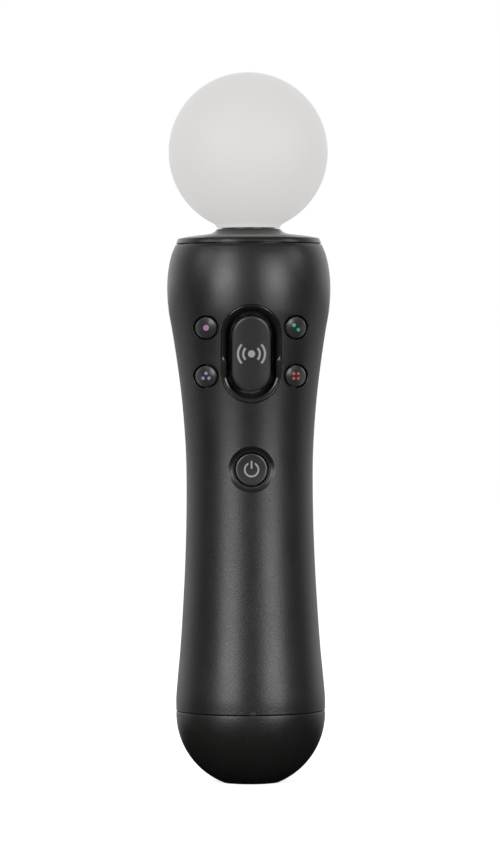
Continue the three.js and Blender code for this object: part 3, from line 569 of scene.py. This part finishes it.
def makeSideButton(name, side, body):
    bm = bmesh.new()
    s = controls["side"]
    flange = [(s["r"] + s["flange"], depth) for depth in s["flangeDepths"]]
    rings = buttonFace(s["r"], 0.02, -0.06, 0.16, s["flangeDepths"][0]) + flange
    stackRings(bm, rings, s["half"], 48)
    wrapSide(bm, side, s["y"], s["z"])
    settle(pieceFrom(bm, name, 40), body, "key_plastic", body + "_button")


makeSideButton("selectButton", -1, "select")
makeSideButton("startButton", 1, "start")
print("front and side controls made")


def bezier(a, b, c, d, steps):
    points = []
    for i in range(1, steps + 1):
        t = i / steps
        k = [(1 - t) ** 3, 3 * t * (1 - t) ** 2, 3 * t * t * (1 - t), t ** 3]
        points.append(tuple(sum(w * p[n] for w, p in zip(k, (a, b, c, d))) for n in (0, 1)))
    return points


def triggerOutline(t):
    y, z, r = t["axleY"], t["axleZ"], t["reach"]
    back = -math.pi / 2 - math.asin((y - t["backY"]) / r)
    lipAngle = math.atan2(t["lip"][1], t["lip"][0])
    under = [(y + r * math.cos(a), z + r * math.sin(a))
             for a in (back + (lipAngle - back) * i / 14 for i in range(15))]
    lip = under[-1]
    face = bezier(lip, (lip[0] + 1.1, lip[1] + 0.5), (lip[0] + 1.1, lip[1] + 1.7), t["nose"], 8)
    face += bezier(face[-1], (26.0, 115.5), (24.2, 121), (23.5, 125.5), 14)
    face += bezier(face[-1], (23.0, 129), (22.75, 131.5), (y + t["roll"], z), 8)
    top = [(y + t["roll"] * math.cos(a), z + t["roll"] * math.sin(a))
           for a in (math.pi * 0.6 * i / 10 for i in range(1, 11))]
    return under + face + top


def makeTrigger(t):
    bm = bmesh.new()
    width = t["halfWidth"]
    points = triggerOutline(t)
    side = bm.faces.new([bm.verts.new((-width, y, z)) for y, z in points])
    edges = list(side.edges)
    border = list(edges)
    for _ in range(t["slices"]):
        grown = bmesh.ops.extrude_edge_only(bm, edges=edges)["geom"]
        edges = [g for g in grown if isinstance(g, bmesh.types.BMEdge) and len(g.link_faces) == 1
                 and g.verts[0] in grown and g.verts[1] in grown]
        moved = list({v for e in edges for v in e.verts})
        bmesh.ops.translate(bm, verts=moved, vec=(2 * width / t["slices"], 0, 0))
    bmesh.ops.edgeloop_fill(bm, edges=edges)
    border += edges
    for v in bm.verts:    # dish the finger face a little across its width
        onFace = v.co.y > t["dishY"] and t["dishLow"] < v.co.z < t["dishHigh"]
        if onFace and abs(v.co.x) < width - 0.1:
            fadeLow = min(1, (v.co.z - t["dishLow"]) / 5)
            fadeHigh = min(1, (t["dishHigh"] - v.co.z) / 6)
            v.co.y -= t["dish"] * (1 - (v.co.x / width) ** 2) * fadeLow * fadeHigh
    bmesh.ops.recalc_face_normals(bm, faces=bm.faces)
    bmesh.ops.bevel(bm, geom=border, offset=t["edge"], offset_type="OFFSET", segments=5, profile=0.5,
                    affect="EDGES", material=-1, clamp_overlap=True)
    return pieceFrom(bm, "triggerLever", 40)


settle(makeTrigger(trigger), "trigger_lever", "gloss_black", "trigger")
print("trigger made")


def newGroup(name, inputs, outputs):
    tree = bpy.data.node_groups.new(name, "ShaderNodeTree")
    for label, value in inputs:
        socket = tree.interface.new_socket(name=label, in_out="INPUT", socket_type="NodeSocketFloat")
        socket.default_value = value
    for label in outputs:
        tree.interface.new_socket(name=label, in_out="OUTPUT", socket_type="NodeSocketFloat")
    return tree, tree.nodes.new("NodeGroupInput"), tree.nodes.new("NodeGroupOutput")


def math2(tree, operation, a, b=None, c=None, clamp=False):
    node = tree.nodes.new("ShaderNodeMath")
    node.operation, node.use_clamp = operation, clamp
    for index, value in enumerate((a, b, c)):
        if value is None:
            continue
        if isinstance(value, (int, float)):
            node.inputs[index].default_value = value
        else:
            tree.links.new(value, node.inputs[index])
    return node.outputs[0]


def noise(tree, vector, scale, detail=3.0, roughness=0.5):
    node = tree.nodes.new("ShaderNodeTexNoise")
    node.inputs["Detail"].default_value = detail
    node.inputs["Roughness"].default_value = roughness
    tree.links.new(vector, node.inputs["Vector"])
    if isinstance(scale, (int, float)):
        node.inputs["Scale"].default_value = scale
    else:
        tree.links.new(scale, node.inputs["Scale"])
    return node.outputs["Fac"]


def mapRange(tree, value, low, high, toLow=0.0, toHigh=1.0):
    node = tree.nodes.new("ShaderNodeMapRange")
    node.interpolation_type = "SMOOTHSTEP"
    tree.links.new(value, node.inputs["Value"])
    for label, number in (("From Min", low), ("From Max", high), ("To Min", toLow), ("To Max", toHigh)):
        node.inputs[label].default_value = number
    return node.outputs["Result"]


def mixColor(tree, factor, a, b):
    node = tree.nodes.new("ShaderNodeMix")
    node.data_type = "RGBA"
    tree.links.new(factor, node.inputs["Factor"])
    for label, value in (("A", a), ("B", b)):
        socket = next(s for s in node.inputs if s.name == label and s.type == "RGBA")
        if isinstance(value, tuple):
            socket.default_value = (*value, 1.0)
        else:
            tree.links.new(value, socket)
    return next(s for s in node.outputs if s.type == "RGBA")


# Moulded texture: fine pebbles for the bump, and a tone of slow drift and fine specks.
def makeGrainGroup():
    tree, given, put = newGroup("mouldGrain", [("Scale", 4000.0)], ["Height", "Tone"])
    where = tree.nodes.new("ShaderNodeTexCoord").outputs["Object"]
    pebbles = tree.nodes.new("ShaderNodeTexVoronoi")
    pebbles.feature = "SMOOTH_F1"
    tree.links.new(where, pebbles.inputs["Vector"])
    tree.links.new(given.outputs["Scale"], pebbles.inputs["Scale"])
    fine = noise(tree, where, given.outputs["Scale"], 2.0)
    coarse = math2(tree, "MULTIPLY", pebbles.outputs["Distance"], 0.7)
    height = math2(tree, "ADD", coarse, math2(tree, "MULTIPLY", fine, 0.5))
    tree.links.new(height, put.inputs["Height"])
    drift = math2(tree, "MULTIPLY", noise(tree, where, 90.0, 4.0, 0.6), 0.45)
    speck = noise(tree, where, math2(tree, "MULTIPLY", given.outputs["Scale"], 0.62), 2.0, 0.6)
    tree.links.new(math2(tree, "MULTIPLY_ADD", speck, 0.55, drift), put.inputs["Tone"])
    return tree


# Where corners are rubbed, and painted sheen: convex edges made lighter, broken up by noise. This is partly
# real wear and partly a painted highlight along the chamfers.
def makeWearAndSheenGroup():
    tree, given, put = newGroup("edgeWearAndSheen", [("Amount", 0.5)], ["Mask"])
    where = tree.nodes.new("ShaderNodeTexCoord").outputs["Object"]
    edges = mapRange(tree, tree.nodes.new("ShaderNodeNewGeometry").outputs["Pointiness"], 0.515, 0.56)
    patches = mapRange(tree, noise(tree, where, 260.0, 5.0, 0.65), 0.38, 0.62)
    mask = math2(tree, "MULTIPLY", edges, math2(tree, "ADD", math2(tree, "MULTIPLY", patches, 0.6), 0.4))
    tree.links.new(math2(tree, "MULTIPLY", mask, given.outputs["Amount"], clamp=True), put.inputs["Mask"])
    return tree


# A thin film of handling: smudges and a few specks of dust on faces that look up.
def makeFilmGroup():
    tree, given, put = newGroup("handlingFilm", [("Amount", 0.5)], ["Smudge", "Dust"])
    coords = tree.nodes.new("ShaderNodeTexCoord")
    smears = mapRange(tree, noise(tree, coords.outputs["Object"], 55.0, 6.0, 0.7), 0.42, 0.7)
    tree.links.new(math2(tree, "MULTIPLY", smears, given.outputs["Amount"]), put.inputs["Smudge"])
    split = tree.nodes.new("ShaderNodeSeparateXYZ")
    tree.links.new(coords.outputs["Normal"], split.inputs[0])
    up = mapRange(tree, split.outputs["Z"], 0.2, 0.95)
    specks = mapRange(tree, noise(tree, coords.outputs["Object"], 1800.0, 2.0), 0.66, 0.74)
    settled = math2(tree, "MULTIPLY", up, specks)
    tree.links.new(math2(tree, "MULTIPLY", settled, given.outputs["Amount"]), put.inputs["Dust"])
    return tree


grainGroup, wearAndSheenGroup, filmGroup = makeGrainGroup(), makeWearAndSheenGroup(), makeFilmGroup()


def place(tree, group, **values):
    node = tree.nodes.new("ShaderNodeGroup")
    node.node_tree = group
    for label, value in values.items():
        node.inputs[label].default_value = value
    return node.outputs


# each finish's worn colour lightens its convex edges: partly wear, partly a painted edge highlight
finishes = {
    "satinBlack": {"color": (0.0080, 0.0080, 0.0075), "rough": 0.38, "grain": 2900, "bump": 0.36,
                   "wearAndSheen": 0.04, "wornAndSheen": (0.09, 0.09, 0.088), "film": 0.15, "mottle": 0.55, "vary": 0.3},
    "satinKey": {"color": (0.021, 0.021, 0.0214), "rough": 0.3, "grain": 4200, "bump": 0.14, "wearAndSheen": 0.08,
                 "wornAndSheen": (0.10, 0.10, 0.10), "film": 0.2, "mottle": 0.3},
    "glossBlack": {"color": (0.009, 0.009, 0.009), "rough": 0.22, "grain": 900, "bump": 0.015, "wearAndSheen": 0.06,
                   "wornAndSheen": (0.05, 0.05, 0.05), "film": 0.3, "mottle": 0.3},
    "semiGloss": {"color": (0.007, 0.007, 0.007), "rough": 0.32, "grain": 1500, "bump": 0.03, "wearAndSheen": 0.2,
                  "wornAndSheen": (0.06, 0.06, 0.06), "film": 0.2, "mottle": 0.3},
    # the milky skin's glow is painted light: a fixed emission on a ball whose lamp is off
    "milkySkin": {"color": (0.11, 0.108, 0.105), "rough": 0.66, "grain": 2600, "bump": 0.10, "wearAndSheen": 0.0,
                  "wornAndSheen": (0.7, 0.7, 0.7), "film": 0.1, "mottle": 0.05, "subsurface": 0.25,
                  "glow": (0.555, 0.542, 0.53)},
    "framePlastic": {"color": (0.045, 0.045, 0.045), "rough": 0.6, "grain": 2400, "bump": 0.3, "wearAndSheen": 0.4,
                     "wornAndSheen": (0.1, 0.1, 0.1), "film": 0.2, "mottle": 0.3},
    "boardGreen": {"color": (0.012, 0.085, 0.034), "rough": 0.38, "grain": 1500, "bump": 0.1, "wearAndSheen": 0.2,
                   "wornAndSheen": (0.3, 0.26, 0.12), "film": 0.2, "mottle": 0.3},
    "siliconeGrey": {"color": (0.26, 0.27, 0.29), "rough": 0.66, "grain": 3000, "bump": 0.2, "wearAndSheen": 0.1,
                     "wornAndSheen": (0.35, 0.36, 0.38), "film": 0.3, "mottle": 0.3},
    "brushedSteel": {"color": (0.56, 0.57, 0.585), "rough": 0.3, "grain": 2000, "bump": 0.12, "wearAndSheen": 0.4,
                     "wornAndSheen": (0.75, 0.76, 0.78), "film": 0.2, "mottle": 0.3, "metallic": 1.0},
    "contactGold": {"color": (0.78, 0.55, 0.21), "rough": 0.2, "grain": 2200, "bump": 0.06, "wearAndSheen": 0.4,
                    "wornAndSheen": (0.9, 0.72, 0.38), "film": 0.2, "mottle": 0.3, "metallic": 1.0},
    "cellWrap": {"color": (0.055, 0.09, 0.15), "rough": 0.36, "grain": 700, "bump": 0.2, "wearAndSheen": 0.3,
                 "wornAndSheen": (0.3, 0.33, 0.36), "film": 0.2, "mottle": 0.3, "metallic": 0.4},
    "clearPlastic": {"color": (0.74, 0.79, 0.81), "rough": 0.14, "grain": 1200, "bump": 0.03, "wearAndSheen": 0.1,
                     "wornAndSheen": (0.85, 0.87, 0.88), "film": 0.2, "mottle": 0.3, "transmission": 0.55},
    "smokedWindow": {"color": (0.03, 0.03, 0.031), "rough": 0.3, "grain": 1200, "bump": 0.03, "wearAndSheen": 0.0,
                     "wornAndSheen": (0.05, 0.05, 0.05), "film": 0.2, "mottle": 0.2, "transmission": 0.1},
    "flexAmber": {"color": (0.30, 0.125, 0.03), "rough": 0.34, "grain": 1800, "bump": 0.06, "wearAndSheen": 0.2,
                  "wornAndSheen": (0.4, 0.25, 0.1), "film": 0.2, "mottle": 0.3},
}


bumpDistance = 0.00008    # m, the depth of the moulded grain


# Everyday surface: base colour with drift, worn edges that also carry a painted edge highlight, smudged
# roughness and a moulded bump.
def makeMaterial(name, f, ink=None):
    material = bpy.data.materials.new(name)
    material.use_nodes = True
    tree = material.node_tree
    shader = tree.nodes["Principled BSDF"]
    grain = place(tree, grainGroup, Scale=float(f["grain"]))
    wearAndSheen = place(tree, wearAndSheenGroup, Amount=f["wearAndSheen"])
    film = place(tree, filmGroup, Amount=f["film"])
    darker = tuple(c * (1 - f["mottle"]) for c in f["color"])
    lighter = tuple(min(1.0, c * (1 + f["mottle"])) for c in f["color"])
    color = mixColor(tree, grain["Tone"], darker, lighter)
    # convex edges lightened: partly wear, partly a painted highlight on the chamfers
    color = mixColor(tree, wearAndSheen["Mask"], color, f["wornAndSheen"])
    dusty = tuple(min(1.0, c * 0.6 + 0.16) for c in f["color"])
    color = mixColor(tree, film["Dust"], color, dusty)
    if ink:
        color = mixColor(tree, ink["mask"](tree), color, ink["color"])
    tree.links.new(color, shader.inputs["Base Color"])
    vary = f.get("vary", 0.10)
    rough = math2(tree, "MULTIPLY_ADD", grain["Tone"], vary, f["rough"] - vary / 2)
    rough = math2(tree, "MULTIPLY_ADD", film["Smudge"], -0.10, rough, clamp=True)
    tree.links.new(rough, shader.inputs["Roughness"])
    bump = tree.nodes.new("ShaderNodeBump")
    bump.inputs["Strength"].default_value = f["bump"]
    bump.inputs["Distance"].default_value = bumpDistance
    tree.links.new(grain["Height"], bump.inputs["Height"])
    tree.links.new(bump.outputs["Normal"], shader.inputs["Normal"])
    shader.inputs["Metallic"].default_value = f.get("metallic", 0.0)
    shader.inputs["Transmission Weight"].default_value = f.get("transmission", 0.0)
    shader.inputs["Subsurface Weight"].default_value = f.get("subsurface", 0.0)
    if f.get("subsurface"):
        shader.inputs["Subsurface Scale"].default_value = 0.004
        shader.inputs["Subsurface Radius"].default_value = (1.0, 0.9, 0.8)
    if f.get("glow"):    # painted glow: a fixed emission keeps the unlit milky ball evenly bright, in place of light passing through its wall
        shader.inputs["Emission Color"].default_value = (*f["glow"], 1)
        shader.inputs["Emission Strength"].default_value = 1.0
    return material


finished = {name: makeMaterial(name, f) for name, f in finishes.items()}


# Printed signs are flat masks drawn round a point on the front, in mm.
def signAxes(tree, x, z):
    split = tree.nodes.new("ShaderNodeSeparateXYZ")
    tree.links.new(tree.nodes.new("ShaderNodeTexCoord").outputs["Object"], split.inputs[0])
    across = math2(tree, "MULTIPLY_ADD", split.outputs["X"], 1000.0, -float(x))
    up = math2(tree, "MULTIPLY_ADD", split.outputs["Z"], 1000.0, -float(z))
    return across, up


def radiusOf(tree, across, up):
    acrossSquared = math2(tree, "MULTIPLY", across, across)
    upSquared = math2(tree, "MULTIPLY", up, up)
    return math2(tree, "SQRT", math2(tree, "ADD", acrossSquared, upSquared))


def dot(tree, across, up, x, z, r):
    dx, dz = math2(tree, "SUBTRACT", across, x), math2(tree, "SUBTRACT", up, z)
    return mapRange(tree, radiusOf(tree, dx, dz), r + 0.04, r - 0.04)


def ring(tree, across, up, r, stroke):
    off = math2(tree, "ABSOLUTE", math2(tree, "SUBTRACT", radiusOf(tree, across, up), r))
    return mapRange(tree, off, stroke / 2 + 0.04, stroke / 2 - 0.04)


def pips(x, z, spots, r):
    def mask(tree):
        across, up = signAxes(tree, x, z)
        whole = None
        for sx, sz in spots:
            one = dot(tree, across, up, sx, sz, r)
            whole = one if whole is None else math2(tree, "MAXIMUM", whole, one)
        return whole
    return mask


def powerSign(z):
    def mask(tree):
        across, up = signAxes(tree, 0, z)
        away = math2(tree, "ABSOLUTE", across)
        gapHere = math2(tree, "MULTIPLY", mapRange(tree, away, 0.95, 0.85), mapRange(tree, up, 0, 0.1))
        closed = math2(tree, "SUBTRACT", 1.0, gapHere)
        arcs = math2(tree, "MULTIPLY", ring(tree, across, up, 1.9, 0.46), closed)
        tall = math2(tree, "ABSOLUTE", math2(tree, "SUBTRACT", up, 1.35))
        bar = math2(tree, "MULTIPLY", mapRange(tree, away, 0.27, 0.19), mapRange(tree, tall, 1.14, 1.06))
        return math2(tree, "MAXIMUM", arcs, bar)
    return mask


def waveSign(z):
    def mask(tree):
        across, up = signAxes(tree, 0, z)
        beside = math2(tree, "SUBTRACT", math2(tree, "MULTIPLY", math2(tree, "ABSOLUTE", across), 0.95),
                       math2(tree, "ABSOLUTE", up))
        sides = mapRange(tree, beside, -0.05, 0.05)
        rings = math2(tree, "MAXIMUM", ring(tree, across, up, 2.3, 0.6), ring(tree, across, up, 3.75, 0.6))
        arcs = math2(tree, "MULTIPLY", rings, sides)
        return math2(tree, "MAXIMUM", arcs, dot(tree, across, up, 0, 0, 1.0))
    return mask


signs = {
    "topLeftButton": {"spots": [(0, 0)], "r": 0.8, "color": (0.31, 0.155, 0.26)},
    "topRightButton": {"spots": [(-0.62, 0.62), (0.62, -0.62)], "r": 0.5, "color": (0.052, 0.31, 0.21)},
    "bottomLeftButton": {"spots": [(-0.8, -0.5), (0.8, -0.5), (0, 0.85)], "r": 0.46,
                         "color": (0.19, 0.215, 0.34)},
    "bottomRightButton": {"spots": [(-0.65, -0.65), (0.65, -0.65), (-0.65, 0.65), (0.65, 0.65)],
                          "r": 0.42, "color": (0.38, 0.082, 0.066)},
}
for name, piece, (x, z) in zip(signs, actionPieces, controls["actions"]):
    sign = signs[name]
    ink = {"mask": pips(x, z, sign["spots"], sign["r"]), "color": sign["color"]}
    piece.data.materials.append(makeMaterial("key_" + name, finishes["satinKey"], ink))
lightInk = (0.245, 0.245, 0.25)
homeInk = {"mask": powerSign(controls["home"]["z"]), "color": lightInk}
homePiece.data.materials.append(makeMaterial("keyHome", finishes["satinKey"], homeInk))
thumbInk = {"mask": waveSign(controls["thumb"]["z"]), "color": lightInk}
thumbPiece.data.materials.append(makeMaterial("keyThumb", finishes["satinKey"], thumbInk))

topCapPiece.data.materials.append(finished["semiGloss"])

slotFinish = {
    "shell_plastic": "satinBlack", "gloss_black": "glossBlack", "key_plastic": "satinKey",
    "ball_skin": "milkySkin", "frame_plastic": "framePlastic", "board_green": "boardGreen",
    "silicone_grey": "siliconeGrey", "steel": "brushedSteel", "contact_gold": "contactGold",
    "cell_wrap": "cellWrap", "clear_plastic": "clearPlastic", "flex_amber": "flexAmber",
}
for piece in [o for o in bpy.context.scene.objects if o.type == "MESH" and "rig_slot" in o]:
    if not piece.data.materials:
        piece.data.materials.append(finished[slotFinish[piece["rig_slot"]]])
    elif piece.data.materials[0] is None:
        piece.data.materials[0] = finished[slotFinish[piece["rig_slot"]]]
for part in frame["record"]["subparts"]:
    node = nodes[part["node"]]
    for holder in node.material_slots:
        holder.material = finished[slotFinish[part["material_slot"]]]
nodes["status_window"].material_slots[0].material = finished["smokedWindow"]
print("materials made")


studio = {
    "floorSize": 30.0,
    "floorColor": 0.92,        # as the camera sees it
    "floorShine": 0.01,        # as the object mirrors it, near its foot
    "shineBehind": 0.9,        # and behind it
    "floorBounce": 0.3,        # as it lights the object
    "floorGlow": 0.68,
    "worldFront": 0.08,
    "worldBack": 1.3,
    "worldFill": 0.36,
    "boxPower": 11.5,
    "boxAngle": 36.0,
    "boxDistance": 1.25,
    "boxSize": (0.66, 0.8),
    "boxHeight": 0.25,
    "boxAim": 0.11,            # height each light points at, m
    "topPlace": (0, -1.1, 0.98),
    "topSize": (1.9, 0.55),
    "topPower": 0.8,
    "topAim": 0.14,
    "sidePlace": (1.2, -0.35, 0.75),    # mirrored to both sides
    "sideSize": (0.5, 0.5),
    "sidePower": 2.4,
    "sideAim": 0.13,
    "keyPlace": (-0.75, -0.95, 0.95),
    "keySize": (0.4, 0.4),
    "keyPower": 3.0,
    "keyAim": 0.12,
}


# A wide pale sheet. The object mirrors it dimly, so that the end cap's underside stays dark.
def makeFloor(s):
    bm = bmesh.new()
    bmesh.ops.create_grid(bm, x_segments=1, y_segments=1, size=s["floorSize"] / 2)
    mesh = bpy.data.meshes.new("floor")
    bm.to_mesh(mesh)
    bm.free()
    floor = bpy.data.objects.new("floor", mesh)
    bpy.context.scene.collection.objects.link(floor)
    material = bpy.data.materials.new("paleFloor")
    material.use_nodes = True
    tree = material.node_tree
    shader = tree.nodes["Principled BSDF"]
    path = tree.nodes.new("ShaderNodeLightPath")
    bounce, bright = ((s[k],) * 3 for k in ("floorBounce", "floorColor"))
    split = tree.nodes.new("ShaderNodeSeparateXYZ")
    tree.links.new(tree.nodes.new("ShaderNodeTexCoord").outputs["Object"], split.inputs[0])
    shine = mapRange(tree, split.outputs["Y"], 0.02, 0.14, s["floorShine"], s["shineBehind"])
    color = mixColor(tree, path.outputs["Is Diffuse Ray"], shine, bounce)
    color = mixColor(tree, path.outputs["Is Camera Ray"], color, bright)
    tree.links.new(color, shader.inputs["Base Color"])
    glow = math2(tree, "MULTIPLY", path.outputs["Is Camera Ray"], s["floorGlow"])
    tree.links.new(glow, shader.inputs["Emission Strength"])
    shader.inputs["Emission Color"].default_value = (1, 1, 1, 1)
    shader.inputs["Roughness"].default_value = 0.9
    shader.inputs["Specular IOR Level"].default_value = 0.0
    floor.data.materials.append(material)


def makeWorld(s):
    world = bpy.data.worlds.new("softRoom")
    bpy.context.scene.world = world
    world.use_nodes = True
    tree = world.node_tree
    background = tree.nodes["Background"]
    split = tree.nodes.new("ShaderNodeSeparateXYZ")
    tree.links.new(tree.nodes.new("ShaderNodeTexCoord").outputs["Generated"], split.inputs[0])
    lit = mapRange(tree, split.outputs["Y"], 0.1, 0.75, s["worldFront"], s["worldBack"])
    path = tree.nodes.new("ShaderNodeLightPath")
    mirrored = math2(tree, "MULTIPLY", lit, path.outputs["Is Glossy Ray"])
    fill = math2(tree, "MULTIPLY", path.outputs["Is Diffuse Ray"], s["worldFill"])
    lighting = math2(tree, "MAXIMUM", mirrored, fill)
    strength = math2(tree, "MAXIMUM", lighting, path.outputs["Is Camera Ray"])
    tree.links.new(strength, background.inputs["Strength"])
    background.inputs["Color"].default_value = (1, 1, 1, 1)


def areaLight(name, where, aim, size, power):
    data = bpy.data.lights.new(name, "AREA")
    data.shape, data.size, data.size_y, data.energy = "RECTANGLE", size[0], size[1], power
    light = bpy.data.objects.new(name, data)
    bpy.context.scene.collection.objects.link(light)
    light.location = where
    look = Vector((0, 0, aim)) - Vector(where)
    light.rotation_euler = look.to_track_quat("-Z", "Y").to_euler()


makeFloor(studio)
makeWorld(studio)
boxTurn, boxOut = math.radians(studio["boxAngle"]), studio["boxDistance"]
for side in (-1, 1):
    boxPlace = (side * math.sin(boxTurn) * boxOut, -math.cos(boxTurn) * boxOut, studio["boxHeight"])
    areaLight("softBox", boxPlace, studio["boxAim"], studio["boxSize"], studio["boxPower"])
areaLight("topBox", studio["topPlace"], studio["topAim"], studio["topSize"], studio["topPower"])
for side in (-1, 1):
    x, y, z = studio["sidePlace"]
    areaLight("sideBox", (side * x, y, z), studio["sideAim"], studio["sideSize"], studio["sidePower"])
areaLight("keyBox", studio["keyPlace"], studio["keyAim"], studio["keySize"], studio["keyPower"])
bpy.context.scene.view_settings.view_transform = "Standard"
print("studio ready")
